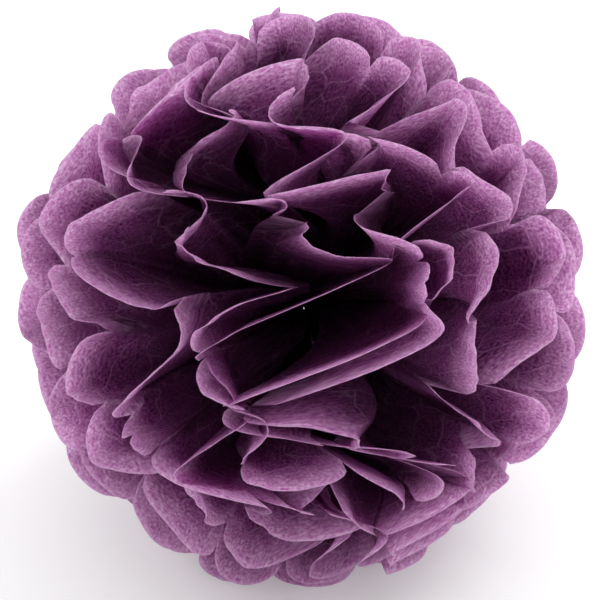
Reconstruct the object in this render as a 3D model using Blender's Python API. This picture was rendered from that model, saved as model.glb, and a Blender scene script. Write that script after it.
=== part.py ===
"""A tissue paper pom pom: twelve sheets, pleated together, tied at the middle and pulled apart into a ball.

Run with: blender --background --python part.py

Every sheet is one rectangle of tissue with its two short ends cut into round scallops, one scallop on
each pleat. All sheets are pleated in one stack, a wire cinches the middle of the strip, and both halves of
the strip open into fans. Pulling the sheets apart spreads the fans over a hemisphere on each side.

Three axes turn with the ball: ALONG runs down the strip, from one half to the other, SPREAD is the way in
which a half fans out, and STACK is the way in which the sheets were piled. A point of a sheet is given by
  level   where its sheet stands in the pile, -1 at the bottom and 1 at the top
  sweep   where it stands in the fan, -1 at one end pleat and 1 at the other
  reach   how far it is from the tie, along the strip
"""

import math

import bmesh
import bpy
import numpy as np

# Sizes of the paper, in metres.
SHEETS = 12
PLEATS = 10
PLEAT_WIDTH = 0.0381
HALF_LENGTH = 0.127
SCALLOP_DEPTH = 0.016
PAPER = 0.0002

# The bundle inside the tie, and the wire round it.
BUNDLE_RADIUS = 0.0045
TIE_WIDTH = 0.0015
BUNDLE_SHOULDER = 0.003
FOLDS_START = 4 * BUNDLE_RADIUS
WIRE_RADIUS = 0.0004
TIE_GAP = 0.0003
TAIL_LENGTH = 0.012
TAIL_PITCH = 0.004
TAIL_STEPS = 30
LOOP_STEPS = 28
LOOP_OPEN = math.radians(20)

# How the ball stands: the tie's place, and the way in which the pile and the fans face.
TIE_PLACE = (0.00105, -0.00014, 0.110)
STACK_RISE = math.radians(35)
SPREAD_LEAN = math.radians(14)

# How the sheets were pulled apart.
OPENING = 0.985
SWAY = 0.009
SWAY_LENGTH = 0.085
SWAY_SLANT = 1 / 3
LEVEL_SOFT = 0.75
LEVEL_ROOM = 0.24
DEEPEST_FOLD = 0.12
STAGGER = 0.045
STAGGER_DRIFT = 0.03
STRAY = 0.045
SHORTEST_LOBE = 0.955
SEED = 7

# The paper that meets the table is pressed flat.
PRESS = 0.0025
PRESS_SLIDE = 0.9
PRESS_MIDDLE = 0.020
FLAT_UNDER = 0.00045

# Rows of mesh across a half, as shares of its length, and points across one scallop.
ROWS = (0.18, 0.46, 0.80, 0.92, 1.0)
COARSE_ROWS = 2
ARC_STEPS = 4

TISSUE_COLOUR = (0.22, 0.075, 0.20, 1.0)
WIRE_COLOUR = (0.55, 0.55, 0.56, 1.0)


def ball_axes():
    """The rows are ALONG, SPREAD and STACK in world axes."""
    rise, lean = STACK_RISE, SPREAD_LEAN
    right = np.array([1.0, 0.0, 0.0])
    up = np.array([0.0, math.sin(rise), math.cos(rise)])
    stack = np.array([0.0, -math.cos(rise), math.sin(rise)])
    along = math.cos(lean) * right + math.sin(lean) * up
    spread = math.cos(lean) * up - math.sin(lean) * right
    return np.array([along, spread, stack])


def ease(x):
    x = min(max(x, 0.0), 1.0)
    return x * x * (3 - 2 * x)


def pull_in(level):
    """Keeps deep folds of the outer sheets on their own side of the gap between the two halves."""
    past = abs(level) - LEVEL_SOFT
    if past <= 0:
        return level
    return math.copysign(LEVEL_SOFT + LEVEL_ROOM * math.tanh(past / LEVEL_ROOM), level)


def fold_depth(reach):
    """Half a fold's height, as a change of level: a pleat keeps its width while the fan opens."""
    opened = math.pi * reach / PLEATS
    height = math.sqrt(max(PLEAT_WIDTH**2 - opened**2, 0.0))
    if reach <= 0:
        return 0.0
    return min(height / (math.pi * reach), DEEPEST_FOLD) * ease(reach / FOLDS_START)


def zigzag(pleat):
    """-1 on even creases and 1 on odd ones, straight between them."""
    return 1 - 2 * abs((pleat % 2) - 1)


def across_lobe(pleat):
    """0 on a crease and 1 at a scallop's tip, round between them."""
    share = pleat % 1
    return math.sqrt(max(1 - (2 * share - 1) ** 2, 0.0))


def disc_point(level, sweep):
    """A square's point moved into a disc, so that every sheet's ends meet the rim."""
    return level * math.sqrt(1 - sweep**2 / 2), sweep * math.sqrt(1 - level**2 / 2)


def ball_point(level, sweep, reach, side):
    """The place of a sheet's point in the ball's own axes."""
    high, wide = disc_point(level, sweep)
    off_axis = math.hypot(high, wide)
    turn = off_axis * OPENING * math.pi / 2
    out = math.sin(turn) / max(off_axis, 1e-6)
    start = TIE_WIDTH + BUNDLE_SHOULDER * (1 - off_axis)
    spread = wide * (BUNDLE_RADIUS + reach * out)
    stack = high * (BUNDLE_RADIUS + reach * out)
    near_gap = (math.sin(turn) * reach / HALF_LENGTH) ** 2
    sway = SWAY * near_gap * math.sin(2 * math.pi * (spread + SWAY_SLANT * stack) / SWAY_LENGTH)
    return np.array([side * (start + reach * math.cos(turn)) + sway, spread, stack])


def press(point):
    """Lays what would reach below the table flat on it, spread outwards from the middle of the ball."""
    x, y, z = point
    floor = PAPER / 2
    lift = PRESS + floor
    if z >= lift:
        return point
    new_z = floor + PRESS * math.exp((z - lift) / PRESS)
    from_middle = math.hypot(x, y)
    slide = PRESS_SLIDE * (new_z - z) / (from_middle + PRESS_MIDDLE)
    return np.array([x * (1 + slide), y * (1 + slide), new_z])


class Sheet:
    """One sheet's own chance: how far each crease and lobe strays, and how long each lobe is."""

    def __init__(self, number, axes):
        chance = np.random.RandomState(SEED * 100 + number)
        self.axes = axes
        self.level = (2 * number + 1) / SHEETS - 1
        self.stray = chance.uniform(-STRAY, STRAY, (2, 2 * PLEATS + 1))
        self.length = chance.uniform(SHORTEST_LOBE, 1.0, (2, PLEATS))

    def strayed(self, side, pleat):
        """A smooth run through the values at creases and lobe tips."""
        at = min(max(2 * pleat, 0.0), 2 * PLEATS - 1e-6)
        first = int(at)
        values = self.stray[0 if side < 0 else 1]
        blend = ease(at - first)
        return values[first] * (1 - blend) + values[first + 1] * blend

    def reach_at(self, side, pleat, share):
        """How far a row is from the tie, where it crosses this pleat."""
        lobe = min(int(pleat), PLEATS - 1)
        length = self.length[0 if side < 0 else 1][lobe]
        notch = HALF_LENGTH - SCALLOP_DEPTH
        free = (HALF_LENGTH * length - notch) * across_lobe(pleat)
        return share * (notch + free)

    def place(self, side, pleat, share):
        """A point in the world: the pleat counts along the fan from 0 to PLEATS."""
        reach = self.reach_at(side, pleat, share)
        fade = ease(reach / HALF_LENGTH)
        level = self.level + fold_depth(reach) * zigzag(pleat)
        level = pull_in(level + fade * self.strayed(side, pleat))
        sweep = -1 + 2 * pleat / PLEATS
        stagger = STAGGER * math.sin(level * math.pi * SHEETS / 2)
        stagger += STAGGER_DRIFT * math.sin(2 * level + side)
        sweep += fade * stagger * (1 - sweep**2)
        own = ball_point(level, sweep, reach, side)
        point = own @ self.axes + np.array(TIE_PLACE)
        return press(point)


def row_pleats(fine):
    """Where a row has its points: on the creases, and round each scallop on a fine row."""
    if not fine:
        return [float(i) for i in range(PLEATS + 1)]
    turns = [0.5 - 0.5 * math.cos(math.pi * i / ARC_STEPS) for i in range(ARC_STEPS)]
    return [i + t for i in range(PLEATS) for t in turns] + [float(PLEATS)]


def add_row(mesh, sheet, side, share, fine):
    return [mesh.verts.new(sheet.place(side, p, share)) for p in row_pleats(fine)]


def join_rows(mesh, inner, outer, turned):
    """Faces between two rows. Where the outer row is finer, its points fan out from the inner creases."""

    def face(corners):
        mesh.faces.new(corners[::-1] if turned else corners)

    if len(inner) == len(outer):
        for i in range(len(inner) - 1):
            face([inner[i], inner[i + 1], outer[i + 1]])
            face([inner[i], outer[i + 1], outer[i]])
        return
    for i in range(PLEATS):
        first, middle, last = ARC_STEPS * i, ARC_STEPS * i + ARC_STEPS // 2, ARC_STEPS * (i + 1)
        face([inner[i], inner[i + 1], outer[middle]])
        for j in range(first, middle):
            face([inner[i], outer[j + 1], outer[j]])
        for j in range(middle, last):
            face([inner[i + 1], outer[j + 1], outer[j]])


def sheet_surface(sheet):
    """Both halves of one sheet as a single surface, joined by the strip inside the tie."""
    mesh = bmesh.new()
    starts = []
    for side in (-1, 1):
        inner = add_row(mesh, sheet, side, 0.0, fine=False)
        starts.append(inner)
        for i, share in enumerate(ROWS):
            outer = add_row(mesh, sheet, side, share, fine=i >= COARSE_ROWS)
            join_rows(mesh, inner, outer, turned=side > 0)
            inner = outer
    join_rows(mesh, starts[0], starts[1], turned=True)
    bmesh.ops.recalc_face_normals(mesh, faces=mesh.faces)
    data = bpy.data.meshes.new("sheet")
    mesh.to_mesh(data)
    mesh.free()
    return data


def flatten_feet(data):
    """Sets the pressed paper's underside exactly on the table."""
    for vertex in data.vertices:
        if vertex.co.z < FLAT_UNDER:
            vertex.co.z = 0.0 if vertex.co.z < PAPER / 2 else PAPER


def material(name, colour, roughness, metallic):
    made = bpy.data.materials.new(name)
    made.use_nodes = True
    shader = made.node_tree.nodes["Principled BSDF"]
    shader.inputs["Base Color"].default_value = colour
    shader.inputs["Roughness"].default_value = roughness
    shader.inputs["Metallic"].default_value = metallic
    return made


def link(name, data, finish):
    made = bpy.data.objects.new(name, data)
    bpy.context.scene.collection.objects.link(made)
    made.data.materials.append(finish)
    return made


def make_sheet(number, axes):
    name = f"tissue_sheet_{number + 1:02d}"
    sheet = Sheet(number, axes)
    made = link(name, sheet_surface(sheet), material(name, TISSUE_COLOUR, 0.9, 0.0))
    wall = made.modifiers.new("paper", "SOLIDIFY")
    wall.thickness = PAPER
    wall.offset = 0.0
    solid = bpy.data.meshes.new_from_object(made.evaluated_get(bpy.context.evaluated_depsgraph_get()))
    made.modifiers.clear()
    made.data = solid
    flatten_feet(solid)


def wire_route():
    """Down one twisted tail, round the bundle and back up the other, in the ball's own axes."""
    ring = BUNDLE_RADIUS + PAPER / 2 + TIE_GAP + WIRE_RADIUS
    twist = WIRE_RADIUS + TIE_GAP / 2
    neck = ring + 2 * WIRE_RADIUS
    tail = []
    for i in range(TAIL_STEPS + 1):
        down = TAIL_LENGTH * (1 - i / TAIL_STEPS)
        turn = 2 * math.pi * down / TAIL_PITCH
        tail.append((twist * math.sin(turn), -twist * math.cos(turn), -neck - down))
    loop = []
    for i in range(LOOP_STEPS + 1):
        angle = -math.pi / 2 - LOOP_OPEN - (2 * math.pi - 2 * LOOP_OPEN) * i / LOOP_STEPS
        loop.append((0.0, ring * math.cos(angle), ring * math.sin(angle)))
    back = [(-a, -b, c) for a, b, c in reversed(tail)]
    return tail + loop + back


def make_tie(axes):
    curve = bpy.data.curves.new("tie_wire", "CURVE")
    curve.dimensions = "3D"
    curve.bevel_depth = WIRE_RADIUS
    curve.bevel_resolution = 1
    curve.use_fill_caps = True
    route = [np.array(p) @ axes + np.array(TIE_PLACE) for p in wire_route()]
    line = curve.splines.new("POLY")
    line.points.add(len(route) - 1)
    for point, place in zip(line.points, route):
        point.co = (*place, 1.0)
    link("tie_wire", curve, material("tie_wire", WIRE_COLOUR, 0.4, 1.0))


def main():
    for thing in list(bpy.data.objects):
        bpy.data.objects.remove(thing)
    axes = ball_axes()
    for number in range(SHEETS):
        make_sheet(number, axes)
    make_tie(axes)


main()
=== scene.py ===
"""Looks for a tissue paper pom pom: twelve pleated sheets, tied in the middle and pulled apart into a ball.

Each sheet is a grid that starts as flat paper, is cut to its scallops, pleated, fanned out from the tie and
then curled, cupped and creased. A point of a sheet is given by
  level   where its sheet stands in the pile, -1 at the bottom and 1 at the top
  sweep   where it stands in the fan, -1 at one end pleat and 1 at the other
  reach   how far it is from the tie, along the strip
"""

import math

import bpy
import numpy as np
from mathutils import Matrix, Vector


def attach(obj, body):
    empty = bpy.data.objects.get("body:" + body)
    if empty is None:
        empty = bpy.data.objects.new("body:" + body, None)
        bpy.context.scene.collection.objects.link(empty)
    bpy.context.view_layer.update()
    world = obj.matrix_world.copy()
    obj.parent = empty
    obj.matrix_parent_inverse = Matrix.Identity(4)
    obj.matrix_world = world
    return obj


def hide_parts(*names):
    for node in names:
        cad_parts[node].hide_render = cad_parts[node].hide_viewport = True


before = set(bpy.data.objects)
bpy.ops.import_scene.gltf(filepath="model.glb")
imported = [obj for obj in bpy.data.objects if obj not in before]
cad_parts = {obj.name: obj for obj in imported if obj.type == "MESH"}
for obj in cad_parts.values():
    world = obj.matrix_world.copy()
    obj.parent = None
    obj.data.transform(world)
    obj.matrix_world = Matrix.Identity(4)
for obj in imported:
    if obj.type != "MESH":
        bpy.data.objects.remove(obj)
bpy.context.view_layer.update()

# The paper, in metres. It is thinner here than in the frame's solids, which have to be tested.
SHEETS = 12
PLEATS = 10
PLEAT_WIDTH = 0.0381
HALF_LENGTH = 0.127
SCALLOP_DEPTH = 0.016
PAPER = 0.00012
STRIP_WIDTH = PLEATS * PLEAT_WIDTH

# The bundle inside the tie, and the wire round it.
BUNDLE_RADIUS = 0.0045
TIE_WIDTH = 0.0007
BUNDLE_SHOULDER = 0.003
FOLDS_START = 4 * BUNDLE_RADIUS
GATHERS_START = 3 * BUNDLE_RADIUS

# How the ball stands.
TIE_PLACE = np.array([0.00105, -0.00014, 0.110])
STACK_RISE = math.radians(35)
SPREAD_LEAN = math.radians(14)

# How the sheets were pulled apart.
OPENING = 1.0
LEAN_OVER = math.radians(15)
LEAN_ARC = math.radians(34)
LEAN_LENGTH = 0.120
LEAN_FULL = 0.6 * HALF_LENGTH
FRONT_PHASE = 0.9
BACK_PHASE = 4.3
TIP_LEAN = math.radians(12)
TIP_LEAN_LENGTH = 0.066
TIP_LEAN_START = 0.4 * HALF_LENGTH
TIP_PHASE = 1.7
TIP_DRIFT = 9
SWAY = 0.009
SWAY_LENGTH = 0.085
SWAY_SLANT = 1 / 3
LEVEL_SOFT = 0.75
LEVEL_ROOM = 0.24
DEEPEST_FOLD = 0.20
OUTER_CLOSED = 0.5
GATHERS = 5
GATHER_SLOPE = 3.0
GATHER_LEAST = 0.4
GATHERS_END = 0.095
GATHERS_FADE = 0.3 * HALF_LENGTH
STAGGER = 0.045
STAGGER_DRIFT = 0.03
STRAY = 0.045
SHORTEST_LOBE = 0.955
SEED = 7

# How far each lobe's paper is bent off its plain shape, in metres.
CUP = -0.0110
CURL = 0.0050
TWIST = 0.0060
WRINKLE = 0.0004
SHARP_CREASE = 0.00192
LEAST_LEVER = 0.02

# Most rims curl outwards. Each lobe has this many sharp creases, and draws this many wrinkle phases.
CURL_OUT = 0.7
CREASES = 5
WRINKLE_PHASES = 6

# Where a lobe's bends start, where its rim curls and where neighbours part, each as a start and a length
# in shares of the half, and how far beside a pleat's crease the bends fade, as a share of the pleat.
BENDS = (0.35, 0.6)
RIM = (0.80, 0.2)
NOTCH_OPENS = (0.86, 0.06)
BESIDE_CREASE = 0.12

# A lobe's length in its half widths, its middle as a share of its length, and how far creases stray.
LOBE_SLIMNESS = 3.2
LOBE_MIDDLE = 0.7
CREASE_SPREAD = 0.6

# The paper that meets the table is pressed flat.
PRESS = 0.0025
PRESS_SLIDE = 0.9
PRESS_MIDDLE = 0.020
TABLE_GAP = 0.0002

# The grid of one sheet: faces across a pleat and along each half, and one row of them inside the tie,
# which takes up this share of the grid on each side of its middle.
ACROSS_PLEAT = 20
ALONG_HALF = 48
TIE_ROW = 1 / (2 * ALONG_HALF + 1)

# Where the camera stands.
CAMERA_RISE = math.radians(32)
CAMERA_DISTANCE = 0.66
BALL_MIDDLE = Vector((0.0, 0.0, 0.1085))
LENS = 87

# The white table, large enough to fill the view.
TABLE_SIZE = 8

# How bright the white studio is in front of and below the ball, and behind and above it.
STUDIO_DARK = 0.36
STUDIO_BRIGHT = 1.00
STUDIO_EXPOSURE = 0.12

# How much light a face of the paper lets through, and how far in from the cut rim the paper is painted
# lighter: painted light for the light that the lobes' outer parts catch and let through, with painted shade
# left deeper in.
LIGHT_THROUGH = 0.86
PAINTED_RIM_LIGHT_MM = 17.0
# A painted highlight along the cut edge, for the paper's edge catching the light: the distances where it is
# full and where it is gone, in millimetres, and how pale it gets.
CUT_EDGE_HIGHLIGHT_MM = (0.5, 0.9)
CUT_EDGE_HIGHLIGHT = 0.45

# Where the fibres' noise counts as thick pulp and as thin pulp.
THIN_PULP = 0.345
THICK_PULP = 0.655

# The dye where the pulp is thin and thick, deep in the ball and at the cut rim, painted darker deep in as
# painted shade and lighter at the rim as painted light:
# as the paper looks from the lit side, and with the light behind it.
SHOWN_DEEP = ("#54304f", "#82507b")
SHOWN_PAINTED_RIM_LIGHT = ("#8a4f83", "#d29acb")
GLOW_DEEP = ("#8f5989", "#cf9dc8")
GLOW_PAINTED_RIM_LIGHT = ("#da9cd2", "#fff2fe")
# The pale colour of crumpled creases, also used for the painted highlight along the cut edge.
WORN_DYE_AND_EDGE_HIGHLIGHT = "#f4dcf2"

# Sizes of the paper's own patterns, in millimetres.
PULP_CLOUDS_MM = 6.0
FIBRES_MM = 0.95
CRINKLES_MM = 9.0
CREASED_CELLS_MM = 17.0
CREASE_BENDS_MM = 14.0


def ease(x):
    """0 up to 0 and 1 from 1 on, with a smooth run between them."""
    x = np.clip(x, 0.0, 1.0)
    return x * x * (3 - 2 * x)


def ball_axes():
    """The rows are the strip's length, the fan's spread and the pile's height, in world axes."""
    rise, lean = STACK_RISE, SPREAD_LEAN
    right = np.array([1.0, 0.0, 0.0])
    up = np.array([0.0, math.sin(rise), math.cos(rise)])
    stack = np.array([0.0, -math.cos(rise), math.sin(rise)])
    return np.array([
        math.cos(lean) * right + math.sin(lean) * up,
        math.cos(lean) * up - math.sin(lean) * right,
        stack,
    ])


def pull_in(level):
    """Keeps deep folds of the outer sheets on their own side of the gap between the two halves."""
    past = np.abs(level) - LEVEL_SOFT
    held = np.sign(level) * (LEVEL_SOFT + LEVEL_ROOM * np.tanh(past / LEVEL_ROOM))
    return np.where(past > 0, held, level)


def fold_depth(reach, level):
    """Half a fold's height, as a change of level: a pleat keeps its width while the fan opens, and the
    outer sheets' fans open least."""
    opened = math.pi * reach / PLEATS * (1 - OUTER_CLOSED * level**2)
    height = np.sqrt(np.maximum(PLEAT_WIDTH**2 - opened**2, 0.0))
    depth = height / np.maximum(math.pi * reach, 1e-6)
    return np.minimum(depth, DEEPEST_FOLD) * ease(reach / FOLDS_START)


def gathers(pleat, reach, level):
    """The small folds that take up the paper's width near the tie, where the fan is narrow."""
    fold_width = math.pi * reach / PLEATS / GATHERS
    steep = GATHER_SLOPE * (GATHER_LEAST + level**2)
    inside = ease(reach / GATHERS_START) * ease((GATHERS_END - reach) / GATHERS_FADE)
    return inside * steep * fold_width / 4 * zigzag(2 * GATHERS * pleat)


def zigzag(pleat):
    """-1 on even creases and 1 on odd ones, straight between them."""
    return 1 - 2 * np.abs((pleat % 2) - 1)


def ball_point(level, sweep, reach, side):
    """The place of a sheet's points in the ball's own axes."""
    high = level * np.sqrt(1 - sweep**2 / 2)
    wide = sweep * np.sqrt(1 - level**2 / 2)
    off_axis = np.hypot(high, wide)
    turn = off_axis * OPENING * math.pi / 2
    out = np.sin(turn) / np.maximum(off_axis, 1e-6)
    start = TIE_WIDTH + BUNDLE_SHOULDER * (1 - off_axis)
    spread = wide * (BUNDLE_RADIUS + reach * out)
    stack = high * (BUNDLE_RADIUS + reach * out)
    near_gap = (np.sin(turn) * reach / HALF_LENGTH) ** 2
    sway = SWAY * near_gap * np.sin(2 * math.pi * (spread + SWAY_SLANT * stack) / SWAY_LENGTH)
    along = side * (start + reach * np.cos(turn)) + sway
    return lean_over(np.stack([along, spread, stack], axis=-1), reach)


def lean_over(own, reach):
    """Where the two halves meet, the petals lean across the gap together, one way and then the other."""
    along, spread, stack = own[..., 0], own[..., 1], own[..., 2]
    from_gap = np.arctan2(along, np.abs(stack))
    way = np.sin(2 * math.pi * spread / LEAN_LENGTH + np.where(stack > 0, FRONT_PHASE, BACK_PHASE))
    lean = LEAN_OVER * way * ease(reach / LEAN_FULL)
    tip_phase = TIP_PHASE * np.sign(stack) + TIP_DRIFT * from_gap
    tip_way = np.sin(2 * math.pi * spread / TIP_LEAN_LENGTH + tip_phase)
    lean = lean + TIP_LEAN * tip_way * ease((reach - TIP_LEAN_START) / LEAN_FULL)
    turned = from_gap + lean * np.exp(-(from_gap / LEAN_ARC) ** 2)
    height = np.hypot(along, stack)
    return np.stack([height * np.sin(turned), spread, np.sign(stack) * height * np.cos(turned)], axis=-1)


def press(points):
    """Lays what would reach below the table flat on it, spread outwards from the middle of the ball."""
    x, y, z = points[..., 0], points[..., 1], points[..., 2]
    floor = PAPER / 2 + TABLE_GAP
    lift = PRESS + floor
    low = floor + PRESS * np.exp((np.minimum(z, lift) - lift) / PRESS)
    new_z = np.where(z < lift, low, z)
    slide = PRESS_SLIDE * (new_z - z) / (np.hypot(x, y) + PRESS_MIDDLE)
    return np.stack([x * (1 + slide), y * (1 + slide), new_z], axis=-1)


class Sheet:
    """One sheet's own chance: how far each crease and lobe strays, and how each lobe is bent."""

    def __init__(self, number):
        chance = np.random.RandomState(SEED * 100 + number)
        self.level = (2 * number + 1) / SHEETS - 1
        self.stray = chance.uniform(-STRAY, STRAY, (2, 2 * PLEATS + 1))
        self.length = chance.uniform(SHORTEST_LOBE, 1.0, (2, PLEATS))
        crumple = np.random.RandomState(SEED * 1000 + number)
        depth = crumple.uniform(0.2, 1.0, (2, PLEATS))
        self.cup = depth * crumple.choice([-0.5, 1.0, 1.0, 1.0], (2, PLEATS))
        self.curl = crumple.uniform(-1.0, 1.0, (2, PLEATS))
        self.twist = crumple.uniform(-1.0, 1.0, (2, PLEATS))
        self.creases = crumple.uniform(-1.0, 1.0, (2, PLEATS, CREASES, 4))
        self.waves = crumple.uniform(0.0, 2 * math.pi, (2, PLEATS, WRINKLE_PHASES))

    def strayed(self, row, pleat):
        """A smooth run through the values at creases and lobe tips."""
        at = np.clip(2 * pleat, 0.0, 2 * PLEATS - 1e-6)
        first = at.astype(int)
        blend = ease(at - first)
        return self.stray[row][first] * (1 - blend) + self.stray[row][first + 1] * blend


def lobe_shape(sheet, row, lobe, share, along):
    """How far a lobe's paper stands off its plain shape, in metres along the pile: cupped between its
    creases, curled at its rim, twisted, and crossed by soft wrinkles and a few sharp creases."""
    across = 2 * share - 1
    outer = ease((along - BENDS[0]) / BENDS[1])
    rim = ease((along - RIM[0]) / RIM[1])
    cup = CUP * sheet.cup[row, lobe] * (1 - across**2) * outer
    curl = CURL * (sheet.curl[row, lobe] + CURL_OUT) * rim
    twist = TWIST * sheet.twist[row, lobe] * across * outer
    waves = sheet.waves[row, lobe]
    fans = np.sin(9 * across + waves[..., 0]) + 0.6 * np.sin(17 * across + waves[..., 1] + 3 * along)
    wrinkles = WRINKLE * fans * outer * (0.4 + along)
    return cup + curl + twist + wrinkles + sharp_creases(sheet.creases[row, lobe], across, along) * outer


def sharp_creases(creases, across, along):
    """Straight folds across a lobe. Each has its turn, its place and how hard it was pressed."""
    bend = 0.0
    for k in range(CREASES):
        turn, place, pressed = creases[..., k, 0] * math.pi, creases[..., k, 1], creases[..., k, 2]
        along_lobe = LOBE_SLIMNESS * (along - LOBE_MIDDLE)
        from_crease = across * np.cos(turn) + along_lobe * np.sin(turn) - CREASE_SPREAD * place
        bend = bend + SHARP_CREASE * pressed * np.abs(from_crease)
    return bend


def place_sheet(sheet, pleat, half):
    """World places of a grid's points, how far each is from the tie, and how far from the cut edge. half
    runs from -1 at one cut end to 1 at the other, and the two rows beside 0 lie inside the tie."""
    side = np.where(half < 0, -1.0, 1.0)
    row = (half >= 0).astype(int)
    along = (np.abs(half) - TIE_ROW) / (1 - TIE_ROW)
    lobe = np.clip(pleat.astype(int), 0, PLEATS - 1)
    share = np.clip(pleat - lobe, 0.0, 1.0)
    round_end = np.sqrt(np.maximum(1 - (2 * share - 1) ** 2, 0.0))
    notch = HALF_LENGTH - SCALLOP_DEPTH
    cut_at = notch + (HALF_LENGTH * sheet.length[row, lobe] - notch) * round_end
    reach = along * cut_at
    fade = ease(reach / HALF_LENGTH)
    strayed = np.where(row == 0, sheet.strayed(0, pleat), sheet.strayed(1, pleat))
    level = sheet.level + fold_depth(reach, sheet.level) * zigzag(pleat)
    bend = joined_shape(sheet, row, lobe, share, along) + gathers(pleat, reach, sheet.level)
    level = pull_in(level + fade * strayed + bend / np.maximum(reach * math.pi / 2, LEAST_LEVER))
    sweep = -1 + 2 * pleat / PLEATS
    stagger = STAGGER * np.sin(level * math.pi * SHEETS / 2) + STAGGER_DRIFT * np.sin(2 * level + side)
    sweep = sweep + fade * stagger * (1 - sweep**2)
    own = ball_point(level, sweep, reach, side)
    return press(own @ ball_axes() + TIE_PLACE), reach, cut_at - reach


def joined_shape(sheet, row, lobe, share, along):
    """The bend at each point. Beside a pleat's crease it eases to none, so that neighbours stay joined."""
    beside = ease(np.minimum(share, 1 - share) / BESIDE_CREASE)
    parted = ease((along - NOTCH_OPENS[0]) / NOTCH_OPENS[1])
    return lobe_shape(sheet, row, lobe, share, along) * (parted + (1 - parted) * beside)


def make_sheet(number):
    """A flat grid of paper, cut and pleated into its place, and given its thickness."""
    name = f"pleated_tissue_{number + 1:02d}"
    bpy.ops.object.select_all(action="DESELECT")
    bpy.ops.mesh.primitive_grid_add(
        x_subdivisions=PLEATS * ACROSS_PLEAT, y_subdivisions=2 * ALONG_HALF + 1, size=2
    )
    piece = bpy.context.object
    piece.name = name
    mesh = piece.data
    mesh.name = name
    flat = np.empty(len(mesh.vertices) * 3)
    mesh.vertices.foreach_get("co", flat)
    flat = flat.reshape(-1, 3)
    pleat = (flat[:, 0] + 1) / 2 * PLEATS
    places, reach, to_edge = place_sheet(Sheet(number), pleat, flat[:, 1])
    mesh.vertices.foreach_set("co", places.ravel())
    lay_out_paper(mesh, pleat, np.sign(flat[:, 1]) * reach)
    mesh.attributes.new("to_edge", "FLOAT", "POINT").data.foreach_set("value", to_edge * 1000)
    wall = piece.modifiers.new("paper", "SOLIDIFY")
    wall.thickness = PAPER
    wall.offset = 0.0
    bpy.ops.object.modifier_apply(modifier=wall.name)
    bpy.ops.object.shade_smooth()
    return piece


def lay_out_paper(mesh, pleat, reach):
    """The UV map is the uncut sheet, one unit to its pleated width, so that fibres keep their size."""
    corners = np.empty(len(mesh.loops), dtype=int)
    mesh.loops.foreach_get("vertex_index", corners)
    flat = np.stack([pleat / PLEATS, 0.5 + reach / STRIP_WIDTH], axis=-1)
    layer = mesh.uv_layers[0]
    layer.name = "paper"
    layer.data.foreach_set("uv", flat[corners].ravel())


def linear(hex_colour):
    """An sRGB hex colour as linear values."""
    parts = [int(hex_colour[i : i + 2], 16) / 255 for i in (1, 3, 5)]
    return tuple(c / 12.92 if c <= 0.04045 else ((c + 0.055) / 1.055) ** 2.4 for c in parts) + (1.0,)


def node(tree, kind, links=None, values=None, **settings):
    """Adds a node, sets it, fills its sockets with values and links others to them."""
    made = tree.nodes.new(kind)
    for key, value in settings.items():
        setattr(made, key, value)
    for key, value in (values or {}).items():
        made.inputs[key].default_value = value
    for key, source in (links or {}).items():
        tree.links.new(source, made.inputs[key])
    return made


def ramp(tree, source, stops):
    """Runs from one colour to another between two values of the source."""
    made = node(tree, "ShaderNodeValToRGB", {"Fac": source})
    for element, (place, colour) in zip(made.color_ramp.elements, stops):
        element.position = place
        element.color = linear(colour)
    return made


def per_mm(size):
    """A pattern's scale on the paper's map, for features of this size in millimetres."""
    return STRIP_WIDTH * 1000 / size


def crease_lines(tree, paper):
    """Thin lines where handling has crumpled the paper and rubbed the dye pale: 0 beside them."""
    bent = node(tree, "ShaderNodeTexNoise", {"Vector": paper},
                {"Scale": per_mm(CREASE_BENDS_MM), "Detail": 2.0})
    moved = node(tree, "ShaderNodeVectorMath", {0: bent.outputs["Color"], 2: paper},
                 {1: (0.03, 0.03, 0.0)}, operation="MULTIPLY_ADD")
    cells = node(tree, "ShaderNodeTexVoronoi", {"Vector": moved.outputs["Vector"]},
                 {"Scale": per_mm(CREASED_CELLS_MM)}, feature="DISTANCE_TO_EDGE")
    line = node(tree, "ShaderNodeMapRange", {"Value": cells.outputs["Distance"]},
                {"From Min": 0.0, "From Max": 0.022, "To Min": 0.32, "To Max": 0.0})
    return line.outputs["Result"]


def dyed(tree, flock, rim, pale, deep, painted_rim_light):
    """The paper's colour: from thin to thick pulp, painted lighter towards the cut rim as painted light, and
    paler on creases and along the cut edge, where the pale line is a painted highlight.
    """
    inner = ramp(tree, flock, [(THIN_PULP, deep[0]), (THICK_PULP, deep[1])]).outputs["Color"]
    outer = ramp(tree, flock, [(THIN_PULP, painted_rim_light[0]), (THICK_PULP, painted_rim_light[1])]).outputs["Color"]
    # Painted light: the colours grow lighter towards the cut rim.
    both = node(tree, "ShaderNodeMix", {0: rim, 6: inner, 7: outer}, data_type="RGBA")
    # Mixes in the pale colour on creases and as a painted highlight on the cut edge.
    wear_and_edge_highlight = node(tree, "ShaderNodeMix", {0: pale, 6: both.outputs[2]}, {7: linear(WORN_DYE_AND_EDGE_HIGHLIGHT)},
                data_type="RGBA")
    return wear_and_edge_highlight.outputs[2]


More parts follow.
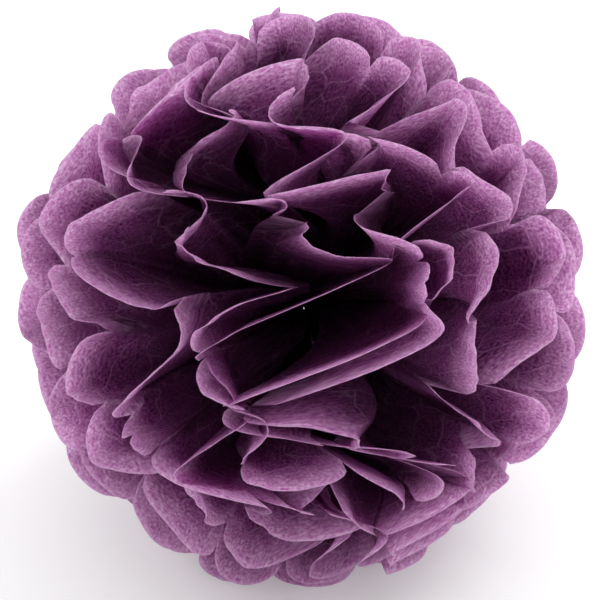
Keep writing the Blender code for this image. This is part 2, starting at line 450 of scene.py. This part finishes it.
def pulp(tree, paper):
    """Short fibres, and clouds where the pulp settled thicker: 0 where it is thin, 1 where thick."""
    cloud = node(tree, "ShaderNodeTexNoise", {"Vector": paper},
                 {"Scale": per_mm(PULP_CLOUDS_MM), "Detail": 4.0, "Roughness": 0.7})
    fibre_run = node(tree, "ShaderNodeMapping", {"Vector": paper}, {"Scale": (1.0, 0.7, 1.0)})
    fibres = node(tree, "ShaderNodeTexNoise", {"Vector": fibre_run.outputs["Vector"]},
                  {"Scale": per_mm(FIBRES_MM), "Detail": 2.0, "Roughness": 0.6})
    flock = node(tree, "ShaderNodeMix", {2: fibres.outputs["Fac"], 3: cloud.outputs["Fac"]}, {0: 0.28})
    return flock.outputs[0]


def painted_edge_light(tree):
    """Painted light: 1 at the cut rim and 0 deep in the lobe, where the rim is painted lighter for the light
    it catches and lets through, and a painted highlight line on the cut edge itself.
    """
    to_edge = node(tree, "ShaderNodeAttribute", attribute_name="to_edge").outputs["Fac"]
    rim = node(tree, "ShaderNodeMapRange", {"Value": to_edge},
               {"From Min": 0.0, "From Max": PAINTED_RIM_LIGHT_MM, "To Min": 1.0, "To Max": 0.0})
    pale, painted_rim_light = CUT_EDGE_HIGHLIGHT_MM
    cut = node(tree, "ShaderNodeMapRange", {"Value": to_edge},
               {"From Min": pale, "From Max": painted_rim_light, "To Min": CUT_EDGE_HIGHLIGHT, "To Max": 0.0})
    return rim.outputs["Result"], cut.outputs["Result"]


def tissue_paper():
    """Dyed tissue paper, pressed from short fibres: matt, cloudy where the pulp lies thicker, and light
    glows through a single layer. The fibres are drawn coarser than real ones, or they wouldn't show."""
    made = bpy.data.materials.new("dyed tissue paper")
    made.use_nodes = True
    tree = made.node_tree
    tree.nodes.clear()
    paper = node(tree, "ShaderNodeUVMap", uv_map="paper").outputs["UV"]
    flock = pulp(tree, paper)
    # Painted light: rim paints the outer part of each lobe lighter, and cut paints a highlight line along
    # its edge.
    rim, cut = painted_edge_light(tree)
    crease = crease_lines(tree, paper)
    # pale holds the crease lines and the painted highlight on the cut edge.
    pale = node(tree, "ShaderNodeMath", {0: crease, 1: cut}, operation="MAXIMUM").outputs["Value"]
    shown = dyed(tree, flock, rim, pale, SHOWN_DEEP, SHOWN_PAINTED_RIM_LIGHT)
    glow = dyed(tree, flock, rim, pale, GLOW_DEEP, GLOW_PAINTED_RIM_LIGHT)
    crinkle = node(tree, "ShaderNodeTexNoise", {"Vector": paper},
                   {"Scale": per_mm(CRINKLES_MM), "Detail": 4.0, "Roughness": 0.55, "Distortion": 0.6})
    height = node(tree, "ShaderNodeMath", {0: crease, 2: crinkle.outputs["Fac"]}, {1: 0.35},
                  operation="MULTIPLY_ADD")
    bump = node(tree, "ShaderNodeBump", {"Height": height.outputs["Value"]},
                {"Strength": 0.6, "Distance": 0.0012})
    surface = node(tree, "ShaderNodeBsdfPrincipled", {"Base Color": shown, "Normal": bump.outputs["Normal"]},
                   {"Roughness": 0.8, "Specular IOR Level": 0.25})
    through = node(tree, "ShaderNodeBsdfTranslucent", {"Color": glow, "Normal": bump.outputs["Normal"]})
    both = node(tree, "ShaderNodeMixShader", {1: surface.outputs["BSDF"], 2: through.outputs["BSDF"]},
                {0: LIGHT_THROUGH})
    node(tree, "ShaderNodeOutputMaterial", {"Surface": both.outputs["Shader"]})
    return made


def bare_steel_wire():
    """Thin bare florist's wire, drawn through a die: soft shine with fine lines along it."""
    made = bpy.data.materials.new("bare steel wire")
    made.use_nodes = True
    tree = made.node_tree
    shader = tree.nodes["Principled BSDF"]
    place = node(tree, "ShaderNodeTexCoord").outputs["Object"]
    drawn = node(tree, "ShaderNodeTexNoise", {"Vector": place}, {"Scale": 3000.0, "Detail": 2.0})
    rough = node(tree, "ShaderNodeMapRange", {"Value": drawn.outputs["Fac"]},
                 {"To Min": 0.25, "To Max": 0.45})
    tree.links.new(rough.outputs["Result"], shader.inputs["Roughness"])
    shader.inputs["Base Color"].default_value = linear("#b4b4b6")
    shader.inputs["Metallic"].default_value = 1.0
    return made


def white_table():
    """Uncoated white backdrop paper: matt and even, with a little light of its own to stay white."""
    made = bpy.data.materials.new("white seamless paper")
    made.use_nodes = True
    tree = made.node_tree
    shader = tree.nodes["Principled BSDF"]
    shader.inputs["Base Color"].default_value = linear("#f6f5f6")
    shader.inputs["Roughness"].default_value = 0.9
    shader.inputs["Specular IOR Level"].default_value = 0.1
    shader.inputs["Emission Color"].default_value = (1, 1, 1, 1)
    shader.inputs["Emission Strength"].default_value = 0.20
    return made


def make_table():
    bpy.ops.mesh.primitive_plane_add(size=TABLE_SIZE, location=(0, 0, 0))
    table = bpy.context.object
    table.name = "white_table"
    table.data.materials.append(white_table())


def aim(thing, place, at):
    """Puts a lamp or a camera in its place, looking at a point."""
    thing.location = place
    thing.rotation_euler = (Vector(at) - Vector(place)).to_track_quat("-Z", "Y").to_euler()


def soft_light(name, place, size, power):
    light = bpy.data.lights.new(name, "AREA")
    light.size = size
    light.energy = power
    lamp = bpy.data.objects.new(name, light)
    bpy.context.scene.collection.objects.link(lamp)
    aim(lamp, place, BALL_MIDDLE)


def make_studio():
    """A white room, brightest behind and above the ball, with two soft windows behind it."""
    world = bpy.data.worlds.new("studio")
    world.use_nodes = True
    tree = world.node_tree
    way = node(tree, "ShaderNodeTexCoord").outputs["Generated"]
    behind = node(tree, "ShaderNodeVectorMath", {0: way}, {1: (0.15, 0.75, 0.65)}, operation="DOT_PRODUCT")
    level = node(tree, "ShaderNodeMapRange", {"Value": behind.outputs["Value"]},
                 {"From Min": -0.8, "From Max": 0.8, "To Min": STUDIO_DARK, "To Max": STUDIO_BRIGHT})
    tree.links.new(level.outputs["Result"], tree.nodes["Background"].inputs["Strength"])
    tree.nodes["Background"].inputs["Color"].default_value = (1, 1, 1, 1)
    bpy.context.scene.world = world
    soft_light("window_right", (0.8, 0.7, 1.2), 0.8, 8)
    soft_light("window_left", (-1.1, 0.8, 0.7), 0.8, 5)
    bpy.context.scene.view_settings.view_transform = "Standard"
    bpy.context.scene.view_settings.look = "Medium Contrast"
    bpy.context.scene.view_settings.exposure = STUDIO_EXPOSURE


def make_camera():
    """In front of the ball and above it, with a long lens."""
    camera = bpy.data.cameras.new("camera")
    camera.lens = LENS
    camera.sensor_width = 36
    holder = bpy.data.objects.new("camera", camera)
    bpy.context.scene.collection.objects.link(holder)
    back = Vector((0.0, -math.cos(CAMERA_RISE), math.sin(CAMERA_RISE))) * CAMERA_DISTANCE
    aim(holder, BALL_MIDDLE + back, BALL_MIDDLE)
    bpy.context.scene.camera = holder


def add_sheets():
    tissue = tissue_paper()
    for number in range(SHEETS):
        piece = make_sheet(number)
        piece.data.materials.append(tissue)
        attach(piece, "root")
        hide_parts(f"tissue_sheet_{number + 1:02d}")


def finish_wire():
    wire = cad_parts["tie_wire"]
    wire.data.materials.clear()
    wire.data.materials.append(bare_steel_wire())


make_camera()
add_sheets()
finish_wire()
make_table()
make_studio()
